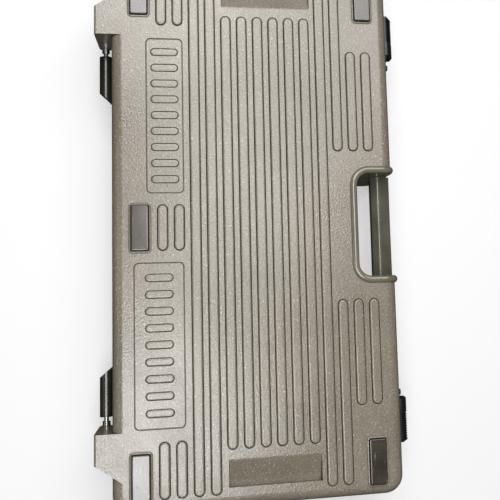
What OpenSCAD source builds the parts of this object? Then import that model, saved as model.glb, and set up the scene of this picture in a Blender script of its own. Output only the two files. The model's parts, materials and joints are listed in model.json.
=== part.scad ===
// Pedalboard: a hinged carrying case whose lower half holds six effect pedals in foam bays.
// Millimetres. X runs along the case, -Y is the handle side, +Y the hinge side, +Z is up.
// The origin is the centre of the footprint, on the plane that the rubber feet stand on.

/* [Case] */
// Length of the case
case_l = 588; // [560:1:620]
// Depth of the two shells, without hinges and latches
case_d = 308; // [300:1:330]
// Height of the closed case on its feet
case_h = 118; // [112:1:130]
// Thickness of the shell walls
wall = 3; // [2.5:0.1:3.5]
// Radius of the upright corners
corner_r = 20; // [16:1:24]
// Radius of the edges around the bottom and the top
edge_r = 12; // [9:1:13]
// How far the stand blocks, hinges and latches reach beyond the shells
reach = 17.5; // [16.5:0.1:19]

/* [Ribs] */
// Number of rib rows across the bottom
rib_rows = 14; // [12:1:14]
// Distance from one rib row to the next
rib_pitch = 17.5; // [16.5:0.1:17.5]
// Width of one rib
rib_w = 10; // [8:0.5:11]
// Height of a rib above the shell
rib_h = 2; // [1:0.1:2]

/* [Feet] */
// Length of a rubber foot
foot_l = 48.6; // [40:0.2:50]
// Width of a rubber foot
foot_w = 19; // [14:0.5:20]
// Distance of the shell's underside from the floor
foot_h = 3.5; // [3:0.1:5]

/* [Handle] */
// Half the length of the hand opening
grip_half = 57.5; // [50:0.5:60]
// Depth of the hand opening, from the front wall
grip_depth = 42; // [38:0.5:42]
// Width of the raised rim around the hand opening
rim_w = 8; // [6:0.5:9]
// Height of the raised rim above the shell
rim_h = 3.2; // [2:0.1:3.2]
// Thickness of the grip bar
grip_t = 22.5; // [18:0.5:23]

/* [Hinges] */
// Diameter of the hinge pins
pin_d = 5; // [4:0.1:6]
// Diameter of the hinge knuckles
knuckle_d = 14; // [12:0.5:14]
// Running clearance between a hinge pin and its bore, on the radius
pin_clear = 0.05; // [0.02:0.01:0.1]
// Angle that the lid is opened by in this drawing
lid_angle = 0; // [0:5:180]

/* [Latches] */
// Length of a latch slider
slider_l = 48; // [44:1:50]
// Travel of a latch slider, from released to locked
latch_travel = 9; // [7:0.5:9]
// How far the latch sliders are moved towards locked in this drawing
latch_shift = 0; // [0:1:7]

/* [Pedal bays] */
// Number of pedal bays
bays = 6; // [4:1:6]
// Width of one pedal bay
bay_w = 74; // [70:1:75]
// Length of one pedal bay
bay_l = 130; // [124:1:131]
// Height of the foam above the floor pad
foam_h = 38; // [30:1:40]

/* [Hidden] */

$fn = 64;
bore_fn = 96;
eps = 0.01;
cut = 1;                                  // how far a cutting solid overshoots the face it opens

case_color = [0.62, 0.59, 0.53];
rim_color = [0.50, 0.47, 0.42];
grip_color = [0.16, 0.15, 0.13];
rubber_color = [0.30, 0.28, 0.25];
black_color = [0.10, 0.10, 0.10];
steel_color = [0.75, 0.75, 0.73];
foam_color = [0.22, 0.22, 0.23];
box_color = [0.13, 0.13, 0.14];

half_l = case_l / 2;
half_d = case_d / 2;
split_z = case_h / 2;                     // parting plane, and height of the hinge axis
split_gap = 0.3;                          // half the gap between the two shells
tongue_h = 2.2;                           // how far the base's tongue stands above the parting plane
tongue_gap = 0.3;                         // room between the tongue and the wall it stands inside
tongue_l = case_l - 2 * (wall + tongue_gap);
tongue_d = case_d - 2 * (wall + tongue_gap);
lid_face = rib_h;                         // the lid's ribs make its highest point
rear_y = half_d + reach;
front_y = -half_d - reach;
hinge_y = rear_y - knuckle_d / 2;

// Ribs
rib_y0 = 100.9;                           // centre line of the rearmost row
rib_end = half_l - 15;                    // where the full rows end
rib_recess_end = half_l - 60.2;           // where rows end beside a hand recess
plaque_in = 24;                           // half length of the short ribs between the plaques
plaque_out = half_l - 71.4;               // where ribs start again outside the plaques
handle_rib = grip_half + 25.4;            // where ribs start beside the handle rim
front_rib_end = half_l - 97.8;            // where the two front rows end

// Feet
foot_x = half_l - 36.6;
foot_y = half_d - 29.4;
foot_sink = 0.6;
foot_lip_w = 2.3;
foot_lip_h = 0.9;
foot_lip_r = 4;
foot_r = 2;

// Blank plaques on the underside: centre x, centre y, length, width
plaques = [[-122, 97.7, 170, 39], [123, 105, 172, 52]];
plaque_depth = 0.6;
plaque_r = 5;
plaque_bars = 4;                          // bars on each side of the middle one
plaque_bar_pitch = 17.5;
plaque_bar_w = 7;
plaque_bar_l = 28;

// Blank plaque on the lid, which covers the rib rows from the first to the second of these
lid_plaque_rows = [4, 7];
lid_plaque_l = 220;
lid_plaque_gap = 12;
lid_rib_in = lid_plaque_l / 2 + lid_plaque_gap;
lid_plaque_r = 6;

// Fasteners
screw_r = 1.4;
screw_head_r = 2.6;
screw_head_h = 1.9;
cross_l = 3.4;                            // length of a cross recess
cross_w = 0.7;
cross_depth = 0.9;
thread_gap = 0.05;
well_screw_l = wall + 1.8;

// Hand recesses at the two ends of the underside
recess_x0 = half_l - 50.4;
recess_x1 = half_l - 21;
recess_y0 = -63.5;
recess_y1 = 35.5;
recess_depth = 8;

// Handle
opening_y = -half_d + grip_depth;
opening_r = 14;
liner_t = 3;
fit = 0.1;                                // clearance between parts that slide together once
grip_y = -half_d + 6.5;
grip_z = 44;
grip_screw_y = grip_y + 3.5;
grip_screw_dz = 6;
well_screws_at = [[grip_half + 6, opening_y - 22], [25, opening_y + 6]];
grip_screw_l = liner_t + 11;
opening_over = 40;                        // the opening's outline runs out past the front wall by this
opening_above = 6;                        // and its cut through the base passes the split by this
screw_end_gap = 0.4;                      // room under the tip of a screw in its hole

// Stand blocks behind the base
block_x0 = 211;
block_x1 = 253.5;
block_face_x1 = 241.5;
block_z0 = foot_h;
block_slope = (block_x1 - block_face_x1) / reach;   // how its outer side slants
block_bore_end = block_x0 + 15;
block_hollow_z0 = block_z0 + edge_r + wall;
block_hollow_z1 = split_z - 9;
ear_l = 18;

// Hinges
knuckle_x0 = 160;
knuckle_x1 = 201;
leaf_x0 = 147;
leaf_t = 3;
leaf_z0 = split_z + 3;
leaf_h = 30;
leaf_rib_h = 14;                          // height at which the web meets the leaf
boss_r = 4;                               // screw bosses inside the lid
boss_l = 6;
pin_x0 = 168;
pin_x1 = block_x0 + 14;
pin_press = 0.01;                         // room around the pin in the lid's knuckle
collar_d = 8.4;
collar_x0 = 206;
collar_x1 = block_x0 - 0.4;
hinge_screw_z = split_z + 24;
hinge_screw_xs = [158, 174, 190];
hinge_screw_l = leaf_t + wall + 5;

// Latches
latch_x = 225;
slider_rest = [-latch_x - 3.5, latch_x - 3];   // slider centres when released
stud_offset = 5;                          // stud from the slider's centre when released
stud_z = split_z + 10;
stud_d = 5;
stud_head_d = 9;
stud_thread_d = 4;
stud_thread_out = 5;                      // how far the thread reaches into the lid
stud_collar_l = 5.7;
stud_head_z = 9.8;
stud_head_h = 2.6;
stud_nut_d = 8;
stud_nut_h = 3.2;
slot_clear = 0.4;
rail_z = split_z - 14;
rail_x0 = latch_x - 22;
rail_l = 36;
rail_web = 6;                             // width of the rail's web and of its head
rail_head = 13;
rail_web_t = 3;
rail_head_t = 2.5;
rail_clear = 0.25;
guide_x0 = latch_x - 38;
guide_l = 68;
guide_t = 2.5;
guide_h = 22;
guide_screw_l = guide_t + wall + 2.5;
stop_screw_x = latch_x - 34;
stop_head_r = 3.4;
stop_head_h = 7;
flush_screw_x = latch_x + 22;
flush_head_r = 3;
flush_head_h = 1.5;
thumb_slope_d = 9;                        // the thumb grip slopes back by this much below
thumb_slope_h = 15;
slider_back_y = -half_d - guide_t - 0.5;
slider_z0 = rail_z - 10;
slider_z1 = stud_z + 10;
thumb_z = slider_z0 + thumb_slope_h;
block_over = 3;                           // how far the block reaches over the split
plate_y = -half_d - 6;                    // rear face of the plate that carries the slot
plate_t = 3;
plate_drop = 3;                           // how far the plate's front lies behind the block's
thumb_l = 30;                             // length of the grooved thumb grip
thumb_margin = 2;
groove_pitch = 2.7;
groove_w = 1.2;
groove_depth = 1;
head_room = 1.6;                          // room across the stud's head in the plate

// Foam and junction box
inner_x = half_l - wall - 3;
inner_y = half_d - wall - 3;
floor_z = foot_h + wall;
pad_t = 5.5;
foam_z0 = floor_z + pad_t;
bay_pitch = 2 * (recess_x0 - 4) / bays;
bay_y0 = opening_y + 14;
bay_y1 = bay_y0 + bay_l;
pedal_foam_y1 = bay_y1 + 8;
lead_d = 4;
branch_d = 3;
lead_y = pedal_foam_y1 + lead_d / 2 + 0.3;
rear_foam_y0 = lead_y + lead_d / 2 + 0.3;
lead_z = foam_z0 + 18;
lead_slot_w = 8;                          // channel for the lead through the rear foam
well_gap = 2;                             // foam stays this far off the handle well
well_room = rim_w + well_gap;
plug_slot_w = 12;
plug_slot_l = 20;
plug_d = 9;
plug_l = 8;
plug_tip_d = 5.5;
plug_tip_l = 9.5;
plug_bore_d = 2.1;
plug_y = bay_y1 + plug_l + 0.2;
pocket_x0 = 100;                          // pockets for accessories on both sides of the box
pocket_l = 130;
pocket_w = 68;
box_l = 120;
box_d = 50;
box_h = 26;
box_t = 2;
box_gap = 2;                              // room between the box and its foam
box_front_gap = 14;
boss_w = 9;
boss_in = 6;                              // boss centre from the box's outer faces
box_y0 = rear_foam_y0 + 22;
box_z0 = foam_z0;
cover_t = 2;
jack_xs = [-36, 36];
jack_z = lead_z;
jack_d = 9.3;
jack_hole_d = 9.4;
jack_body_d = 15;
jack_body_l = 25;
jack_bore_d = 6.5;
jack_bore_l = 22;
jack_nose_l = box_t + 6;
jack_nut_d = 14;
jack_nut_h = 2.5;
relief_d = 7.9;                           // strain relief of the power lead
relief_hole_d = 8;
relief_collar_d = 11;
relief_collar_l = 5;
relief_in = box_t + 8;
cover_screw_l = 12;
lid_foam_t = 24;

// ---------------------------------------------------------------- outlines

module rounded_rect(w, d, r) {
    square([w - 2 * r, d], center = true);
    square([w, d - 2 * r], center = true);
    for (x = [-1, 1], y = [-1, 1])
        translate([x * (w / 2 - r), y * (d / 2 - r)]) circle(r);
}

// Side view of a shell that stands on y = 0, with its two lower corners rounded.
module tray_profile(w, h, r) {
    translate([-w / 2 + r, 0]) square([w - 2 * r, h]);
    translate([-w / 2, r]) square([w, h - r]);
    for (x = [-1, 1]) translate([x * (w / 2 - r), r]) circle(r);
}

// The hand opening seen from above, open towards the front; grow widens it evenly.
module opening_outline(grow) {
    w = grip_half + grow;
    r = opening_r + grow;
    top = opening_y + grow;
    translate([-w, -half_d - opening_over]) square([2 * w, top - r + half_d + opening_over]);
    translate([-w + r, -half_d - opening_over]) square([2 * (w - r), top + half_d + opening_over]);
    for (x = [-1, 1]) translate([x * (w - r), top - r]) circle(r);
}

module pill(x0, x1, w) {
    translate([x0 + w / 2, -w / 2]) square([x1 - x0 - w, w]);
    for (x = [x0 + w / 2, x1 - w / 2]) translate([x, 0]) circle(d = w);
}

// ---------------------------------------------------------------- shell solids

// A solid block with rounded upright corners and rounded lower edges, from z = 0 to h.
module rounded_block(w, d, h, corner, edge) {
    intersection() {
        linear_extrude(h) rounded_rect(w, d, corner);
        rotate([90, 0, 0]) linear_extrude(d + 2 * cut, center = true) tray_profile(w, h, edge);
        rotate([90, 0, 90]) linear_extrude(w + 2 * cut, center = true) tray_profile(d, h, edge);
    }
}

// The outside of one half of the case, whose outer face lies at z = face.
module tray_block(face) {
    translate([0, 0, face])
        rounded_block(case_l, case_d, split_z - split_gap - face, corner_r, edge_r);
}

module tray_hollow(face) {
    translate([0, 0, face + wall])
        rounded_block(case_l - 2 * wall, case_d - 2 * wall, split_z - face, corner_r - wall, edge_r - wall);
}

// Where the ribs of one row of the underside start and end.
function base_spans(row) =
    row < 2 ? [[-rib_end, -plaque_out], [-plaque_in, plaque_in], [plaque_out, rib_end]]
    : row < 4 || row == 10 ? [[-rib_end, rib_end]]
    : row < 10 ? [[-rib_recess_end, rib_recess_end]]
    : row == 11 ? [[-rib_end, -handle_rib], [handle_rib, rib_end]]
    : [[-front_rib_end, -handle_rib], [handle_rib, front_rib_end]];

// The same for the lid, whose rows run through except around its blank plaque.
function lid_spans(row) =
    row >= 11 ? [[-rib_end, -handle_rib], [handle_rib, rib_end]]
    : row >= lid_plaque_rows[0] && row <= lid_plaque_rows[1]
        ? [[-rib_end, -lid_rib_in], [lid_rib_in, rib_end]]
    : [[-rib_end, rib_end]];

module rib(span, row, face) {
    translate([0, rib_y0 - row * rib_pitch, face - rib_h])
        linear_extrude(rib_h + wall / 2) pill(span[0], span[1], rib_w);
}

module at_feet() {
    for (x = [-foot_x, foot_x], y = [-foot_y, foot_y]) translate([x, y, 0]) children();
    translate([0, foot_y, 0]) children();
}

module foot_lips() {
    at_feet() translate([0, 0, foot_h - foot_lip_h])
        linear_extrude(foot_lip_h + wall / 2)
            rounded_rect(foot_l + 2 * foot_lip_w, foot_w + 2 * foot_lip_w, foot_lip_r);
}

module foot_pockets() {
    at_feet() linear_extrude(foot_h + foot_sink)
        rounded_rect(foot_l + 2 * fit, foot_w + 2 * fit, foot_r + fit);
}

// Two shallow blank panels, each with a row of plain bars left standing in it.
module base_plaques() {
    for (p = plaques) translate([p[0], p[1], foot_h - cut])
        linear_extrude(cut + plaque_depth) difference() {
            rounded_rect(p[2], p[3], plaque_r);
            for (i = [-plaque_bars : plaque_bars]) translate([i * plaque_bar_pitch, 0]) rotate(90)
                pill(-plaque_bar_l / 2, plaque_bar_l / 2, plaque_bar_w);
        }
}

// Thickened floor over a hand recess, so that the recess does not break through.
module recess_pads() {
    for (x = [-1, 1]) scale([x, 1, 1])
        translate([recess_x0 - wall, recess_y0 - wall, foot_h + wall / 2])
            cube([recess_x1 - recess_x0 + 2 * wall, recess_y1 - recess_y0 + 2 * wall, recess_depth + wall / 2]);
}

// The recess floor ramps up towards the end of the case, which leaves a lip to hook the fingers behind.
module recess_ramps() {
    for (x = [0, 1]) mirror([x, 0, 0])
        translate([0, recess_y1, foot_h]) rotate([90, 0, 0])
            linear_extrude(recess_y1 - recess_y0)
                polygon([
                    [recess_x0, -cut], [recess_x0, 0], [recess_x1, recess_depth], [recess_x1, -cut],
                ]);
}

module stand_block() {
    translate([0, 0, block_z0]) linear_extrude(edge_r)
        polygon([
            [block_x0, half_d - edge_r], [block_x0, rear_y], [block_face_x1, rear_y],
            [block_x1 + block_slope * edge_r, half_d - edge_r],
        ]);
    translate([0, 0, block_z0]) linear_extrude(split_z - 1 - block_z0)
        polygon([
            [block_x0, half_d - wall / 2], [block_x0, rear_y], [block_face_x1, rear_y],
            [block_x1, half_d], [block_x1, half_d - wall / 2],
        ]);
    translate([block_x0, hinge_y, split_z]) rotate([0, 90, 0]) cylinder(d = knuckle_d, h = ear_l);
}

// The bore for the hinge pin, and a hollow that opens into the case.
module stand_block_cuts() {
    translate([block_x0 - cut, hinge_y, split_z]) rotate([0, 90, 0])
        cylinder(d = pin_d + 2 * pin_clear, h = block_bore_end - block_x0 + cut, $fn = bore_fn);
    translate([block_x0 + wall, half_d - wall - cut, block_hollow_z0])
        cube([block_face_x1 - block_x0 - 2 * wall, reach + cut, block_hollow_z1 - block_hollow_z0]);
}

// Low tongue on the base that keeps the closed lid in line.
module rim_tongue() {
    difference() {
        union() {
            translate([0, 0, split_z - 2 * wall]) linear_extrude(2 * wall - split_gap)
                rounded_rect(case_l - wall, case_d - wall, corner_r - wall / 2);
            translate([0, 0, split_z - 2 * wall]) linear_extrude(2 * wall + tongue_h)
                rounded_rect(tongue_l, tongue_d, corner_r - wall - tongue_gap);
        }
        translate([0, 0, split_z - 2 * wall - cut]) linear_extrude(4 * wall)
            rounded_rect(case_l - 4 * wall, case_d - 4 * wall, corner_r - 2 * wall);
    }
}

// Removes a shell's front where the handle well stands, over the shell's whole height.
module well_cut() {
    translate([0, 0, -cut]) linear_extrude(split_z + opening_above) opening_outline(liner_t + fit);
}

module at_well_screws(face) {
    for (side = [-1, 1], p = well_screws_at) translate([side * p[0], p[1], face + wall]) children();
}

module base_shell() {
    color(case_color) difference() {
        union() {
            difference() {
                union() {
                    tray_block(foot_h);
                    for (row = [0 : rib_rows - 1], s = base_spans(row)) rib(s, row, foot_h);
                    foot_lips();
                    for (x = [0, 1]) mirror([x, 0, 0]) stand_block();
                }
                tray_hollow(foot_h);
            }
            recess_pads();
            rim_tongue();
        }
        foot_pockets();
        base_plaques();
        recess_ramps();
        for (x = [0, 1]) mirror([x, 0, 0]) stand_block_cuts();
        well_cut();
        at_well_screws(foot_h) screw_hole(wall + 2 * cut);
        at_guide_screws() screw_hole(wall + 2 * cut);
    }
}

// ---------------------------------------------------------------- fasteners

module cross_recess() {
    cube([cross_l, cross_w, 2 * cross_depth], center = true);
    cube([cross_w, cross_l, 2 * cross_depth], center = true);
}

// A pan head screw along -z; its head sits on z = 0.
module screw(length) {
    difference() {
        union() {
            translate([0, 0, -length]) cylinder(r = screw_r, h = length + eps);
            cylinder(r = screw_head_r, h = screw_head_h);
        }
        translate([0, 0, screw_head_h]) cross_recess();
    }
}

module screw_hole(depth) {
    translate([0, 0, -depth]) cylinder(r = screw_r + thread_gap, h = depth + cut, $fn = bore_fn);
}

// ---------------------------------------------------------------- handle

// The liner of the hand opening, with a rim that wraps over the bottom and the front of a shell.
module well(face) {
    difference() {
        intersection() {
            linear_extrude(split_z - split_gap) difference() {
                opening_outline(rim_w);
                opening_outline(0);
            }
            translate([0, 0, face - rim_h]) rotate([90, 0, 90])
                linear_extrude(4 * grip_half, center = true)
                    tray_profile(case_d + 2 * rim_h, case_h, edge_r + rim_h);
        }
        difference() {
            translate([0, 0, face]) rotate([90, 0, 90]) linear_extrude(4 * grip_half, center = true)
                tray_profile(case_d, case_h, edge_r);
            linear_extrude(case_h) opening_outline(liner_t);
        }
        at_well_screws(face) screw_hole(well_screw_l + screw_end_gap);
    }
}

module handle_well() {
    color(rim_color) difference() {
        well(foot_h);
        at_grip_screws() screw_hole(liner_t + 2 * cut);
    }
}

module well_screws() {
    color(steel_color) at_well_screws(foot_h) screw(well_screw_l);
}

// The four places where screws pass sideways through the liner into the grip.
module at_grip_screws() {
    for (side = [-1, 1], dz = [-grip_screw_dz, grip_screw_dz])
        translate([side * (grip_half + liner_t), grip_screw_y, grip_z + dz])
            rotate([0, side * 90, 0]) children();
}

module handle_grip() {
    a = grip_t / 2;
    color(grip_color) difference() {
        translate([-grip_half + fit, 0, 0]) rotate([90, 0, 90]) linear_extrude(2 * (grip_half - fit))
            translate([grip_y, grip_z]) polygon([
                [-a, -0.35 * a], [0.28 * a, -a], [0.48 * a, -a], [a, -0.4 * a],
                [a, 0.5 * a], [0.5 * a, a], [-0.5 * a, a], [-a, 0.5 * a],
            ]);
        at_grip_screws() screw_hole(grip_screw_l + 2);
    }
}

module grip_screws() {
    color(steel_color) at_grip_screws() screw(grip_screw_l);
}

// ---------------------------------------------------------------- feet

module foot(x, y) {
    color(rubber_color) translate([x, y, 0])
        linear_extrude(foot_h + foot_sink - eps) rounded_rect(foot_l, foot_w, foot_r);
}

module front_left_foot() { foot(-foot_x, -foot_y); }
module front_right_foot() { foot(foot_x, -foot_y); }
module rear_left_foot() { foot(-foot_x, foot_y); }
module rear_center_foot() { foot(0, foot_y); }
module rear_right_foot() { foot(foot_x, foot_y); }

// ---------------------------------------------------------------- latches

// A guide's round-headed screw stands beside the slider and stops it.
module at_stop_screws() {
    for (side = [-1, 1]) translate([side * stop_screw_x, -half_d - guide_t, rail_z])
        rotate([90, 0, 0]) children();
}

// Its other screw is countersunk, so that the slider passes over it.
module at_flush_screws() {
    for (side = [-1, 1]) translate([side * flush_screw_x, -half_d - guide_t, rail_z])
        rotate([90, 0, 0]) children();
}

module at_guide_screws() {
    at_stop_screws() translate([0, 0, -guide_t + wall / 2]) children();
    at_flush_screws() translate([0, 0, -guide_t + wall / 2]) children();
}

// A plate on the front wall with a T-shaped rail; side is -1 for the left latch and 1 for the right.
module latch_guide(side) {
    web_y = -half_d - guide_t - rail_web_t;
    color(black_color) difference() {
        scale([side, 1, 1]) union() {
            translate([guide_x0, -half_d - guide_t, rail_z - guide_h / 2]) cube([guide_l, guide_t, guide_h]);
            translate([rail_x0, web_y, rail_z - rail_web / 2]) cube([rail_l, rail_web_t + eps, rail_web]);
            translate([rail_x0, web_y - rail_head_t, rail_z - rail_head / 2])
                cube([rail_l, rail_head_t + eps, rail_head]);
        }
        at_stop_screws() screw_hole(guide_t + cut);
        at_flush_screws() {
            screw_hole(guide_t + cut);
            translate([0, 0, -flush_head_h - eps]) cylinder(
                r1 = screw_r + thread_gap, r2 = flush_head_r + thread_gap, h = flush_head_h + 2 * eps
            );
            cylinder(r = flush_head_r + thread_gap, h = cut);
        }
    }
}

module left_latch_guide() { latch_guide(-1); }
module right_latch_guide() { latch_guide(1); }

module latch_guide_screws() {
    color(black_color) {
        at_stop_screws() {
            translate([0, 0, -guide_screw_l]) cylinder(r = screw_r, h = guide_screw_l + eps);
            cylinder(r = stop_head_r, h = stop_head_h);
        }
        at_flush_screws() difference() {
            union() {
                translate([0, 0, -guide_screw_l]) cylinder(r = screw_r, h = guide_screw_l - flush_head_h + 0.3);
                translate([0, 0, -flush_head_h]) cylinder(r1 = screw_r, r2 = flush_head_r, h = flush_head_h);
            }
            cross_recess();
        }
    }
}

// The L-shaped slot in the slider's plate: an entry from the top, then a leg that traps the stud.
module stud_slot() {
    w = stud_d + 2 * slot_clear;
    translate([stud_offset, front_y - cut, stud_z]) {
        rotate([-90, 0, 0]) cylinder(d = w, h = reach);
        translate([-w / 2, 0, 0]) cube([w, reach, case_h]);
        translate([-latch_travel, 0, 0]) rotate([-90, 0, 0]) cylinder(d = w, h = reach);
        translate([-latch_travel, 0, -w / 2]) cube([latch_travel, reach, w]);
    }
}

// Section of the slider's block, with the slope of its thumb grip.
module slider_block() {
    polygon([
        [slider_back_y, slider_z0], [front_y + thumb_slope_d, slider_z0], [front_y, thumb_z],
        [front_y, split_z + block_over], [slider_back_y, split_z + block_over]
    ]);
}

// Its block runs on the rail; its plate reaches up over the lid's stud.
module latch_slider(center_x, side) {
    head_w = stud_head_d + head_room;
    web_y = -half_d - guide_t - rail_web_t;
    color(black_color) translate([center_x + latch_shift, 0, 0]) difference() {
        union() {
            translate([-slider_l / 2, 0, 0]) rotate([90, 0, 90]) linear_extrude(slider_l) slider_block();
            translate([-slider_l / 2, front_y + plate_drop, thumb_z])
                cube([slider_l, plate_y - front_y - plate_drop, slider_z1 - thumb_z]);
        }
        // T-slot that runs on the guide's rail
        translate([-slider_l / 2 - cut, web_y, rail_z - rail_web / 2 - rail_clear])
            cube([slider_l + 2 * cut, rail_web_t + cut, rail_web + 2 * rail_clear]);
        translate([-slider_l / 2 - cut, web_y - rail_head_t - rail_clear, rail_z - rail_head / 2 - rail_clear])
            cube([slider_l + 2 * cut, rail_head_t + 2 * rail_clear, rail_head + 2 * rail_clear]);
        // Room for the lid wall behind the plate, and for the stud's head in front of it
        translate([-slider_l / 2 - cut, plate_y, split_z - split_gap - 1])
            cube([slider_l + 2 * cut, reach, slider_z1 - split_z + 2 * cut]);
        translate([stud_offset - latch_travel - head_w / 2, front_y - cut, stud_z - head_w / 2])
            cube([latch_travel + head_w, plate_y - plate_t - front_y + cut, slider_z1 - stud_z + head_w]);
        stud_slot();
        // Grooves of the thumb grip
        for (i = [0 : floor(thumb_l / groove_pitch) - 1])
            translate([side * (slider_l / 2 - thumb_margin - groove_pitch * (i + 0.5)), front_y, thumb_z]) {
                translate([0, 0, case_h / 2]) cube([groove_w, 2 * groove_depth, case_h], center = true);
                rotate([atan(thumb_slope_d / thumb_slope_h), 0, 0])
                    cube([groove_w, 2 * groove_depth, 4 * thumb_slope_h], center = true);
            }
    }
}

module left_latch_slider() { latch_slider(slider_rest[0], -1); }
module right_latch_slider() { latch_slider(slider_rest[1], 1); }

// Headed stud on the lid, with a collar that stands it off the wall and a thread that takes a nut inside.
module latch_stud(x) {
    color(steel_color) translate([x, -half_d, stud_z]) rotate([90, 0, 0]) {
        translate([0, 0, -wall - stud_thread_out]) cylinder(d = stud_thread_d, h = wall + stud_thread_out + eps);
        cylinder(d = stud_head_d, h = stud_collar_l);
        cylinder(d = stud_d, h = stud_head_z + eps);
        translate([0, 0, stud_head_z]) cylinder(d = stud_head_d, h = stud_head_h);
    }
}

module left_latch_stud() { latch_stud(slider_rest[0] + stud_offset); }
module right_latch_stud() { latch_stud(slider_rest[1] + stud_offset); }

module stud_nuts() {
    color(steel_color) for (x = slider_rest)
        translate([x + stud_offset, -half_d + wall, stud_z]) rotate([-90, 0, 0]) difference() {
            cylinder(d = stud_nut_d, h = stud_nut_h, $fn = 6);
            translate([0, 0, -cut])
                cylinder(d = stud_thread_d + 2 * thread_gap, h = stud_nut_h + 2 * cut, $fn = bore_fn);
        }
}

// ---------------------------------------------------------------- foam and wiring in the base

module floor_pad() {
    color(foam_color) translate([0, 0, floor_z + eps]) linear_extrude(pad_t - 2 * eps) difference() {
        square([2 * (recess_x0 - wall - 1), 2 * (inner_y - edge_r)], center = true);
        opening_outline(well_room);
    }
}

function bay_x(i) = (i - (bays - 1) / 2) * bay_pitch;

module pedal_foam() {
    color(foam_color) translate([0, 0, foam_z0]) difference() {
        translate([-inner_x, -inner_y, 0]) linear_extrude(foam_h) polygon([
            [corner_r, 0], [2 * inner_x - corner_r, 0], [2 * inner_x, corner_r],
            [2 * inner_x, inner_y + pedal_foam_y1], [0, inner_y + pedal_foam_y1], [0, corner_r],
        ]);
        translate([0, 0, -cut]) linear_extrude(foam_h + 2 * cut) opening_outline(well_room);
        for (i = [0 : bays - 1]) translate([bay_x(i) - bay_w / 2, bay_y0, -cut])
            cube([bay_w, bay_l, foam_h + 2 * cut]);
        // Slot that holds a power plug at the back of each bay
        for (i = [0 : bays - 1])
            translate([bay_x(i) - plug_slot_w / 2, bay_y1 - cut, lead_z - foam_z0 - plug_slot_w / 2])
                cube([plug_slot_w, plug_slot_l, foam_h]);
        // Relief over the hand recesses
        for (x = [-1, 1]) scale([x, 1, 1])
            translate([recess_x0 - 2 * wall, recess_y0 - 2 * wall, -cut])
                cube([half_l - recess_x0, recess_y1 - recess_y0 + 4 * wall, recess_depth + cut]);
    }
}

module rear_foam() {
    color(foam_color) translate([0, 0, foam_z0]) difference() {
        translate([-inner_x, rear_foam_y0, 0]) linear_extrude(foam_h) polygon([
            [0, 0], [2 * inner_x, 0], [2 * inner_x, inner_y - rear_foam_y0 - corner_r],
            [2 * inner_x - corner_r, inner_y - rear_foam_y0], [corner_r, inner_y - rear_foam_y0],
            [0, inner_y - rear_foam_y0 - corner_r],
        ]);
        translate([-box_l / 2 - box_gap, box_y0 - box_front_gap, -cut])
            cube([box_l + 2 * box_gap, box_d + box_front_gap + box_gap, foam_h + 2 * cut]);
        translate([-lead_slot_w / 2, rear_foam_y0 - cut, lead_z - foam_z0 - lead_slot_w / 2])
            cube([lead_slot_w, box_y0 - rear_foam_y0, foam_h]);
        for (x = [-1, 1]) scale([x, 1, 1]) translate([pocket_x0, box_y0 - box_front_gap + 4, -cut])
            cube([pocket_l, pocket_w, foam_h + 2 * cut]);
    }
}

module junction_box() {
    color(box_color) difference() {
        translate([-box_l / 2, box_y0, box_z0 + eps]) cube([box_l, box_d, box_h]);
        difference() {
            translate([-box_l / 2 + box_t, box_y0 + box_t, box_z0 + box_t])
                cube([box_l - 2 * box_t, box_d - 2 * box_t, box_h]);
            at_cover_screws() cube([boss_w, boss_w, 4 * box_h], center = true);
        }
        at_cover_screws() screw_hole(cover_screw_l + 2);
        for (x = jack_xs) translate([x, box_y0 - cut, jack_z]) rotate([-90, 0, 0])
            cylinder(d = jack_hole_d, h = box_t + 2 * cut, $fn = bore_fn);
        translate([0, box_y0 - cut, jack_z]) rotate([-90, 0, 0])
            cylinder(d = relief_hole_d, h = box_t + 2 * cut, $fn = bore_fn);
    }
}

module at_cover_screws() {
    for (x = [-1, 1], y = [-1, 1])
        translate([x * (box_l / 2 - boss_in), box_y0 + box_d / 2 + y * (box_d / 2 - boss_in), 0])
            translate([0, 0, box_z0 + box_h + cover_t]) children();
}

module junction_box_cover() {
    color(box_color) difference() {
        translate([-box_l / 2, box_y0, box_z0 + box_h + 2 * eps]) cube([box_l, box_d, cover_t - 2 * eps]);
        at_cover_screws() screw_hole(cover_t + cut);
    }
}

module cover_screws() {
    color(steel_color) at_cover_screws() screw(cover_screw_l);
}

// Phone jacks: a threaded nose through the box wall, with the body behind it.
module phone_jacks() {
    color(black_color) for (x = jack_xs) translate([x, box_y0 + box_t, jack_z]) rotate([90, 0, 0])
        difference() {
            union() {
                translate([0, 0, -jack_body_l]) cylinder(d = jack_body_d, h = jack_body_l - eps);
                translate([0, 0, -2 * eps]) cylinder(d = jack_d, h = jack_nose_l);
            }
            translate([0, 0, -jack_bore_l]) cylinder(d = jack_bore_d, h = 2 * jack_bore_l, $fn = bore_fn);
        }
}

module jack_nuts() {
    color(steel_color) for (x = jack_xs) translate([x, box_y0 - eps, jack_z]) rotate([90, 0, 0])
        difference() {
            cylinder(d = jack_nut_d, h = jack_nut_h, $fn = 6);
            translate([0, 0, -cut]) cylinder(d = jack_hole_d, h = jack_nut_h + 2 * cut, $fn = bore_fn);
        }
}

// Strain relief where the power lead enters the junction box.
module power_socket() {
    color(black_color) translate([0, box_y0, jack_z]) rotate([90, 0, 0]) difference() {
        union() {
            translate([0, 0, -relief_in]) cylinder(d = relief_d, h = relief_in + 2 * eps);
            translate([0, 0, eps]) cylinder(d = relief_collar_d, h = relief_collar_l);
        }
        translate([0, 0, -2 * relief_in]) cylinder(d = branch_d + 2 * fit, h = 4 * relief_in, $fn = bore_fn);
    }
}

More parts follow.
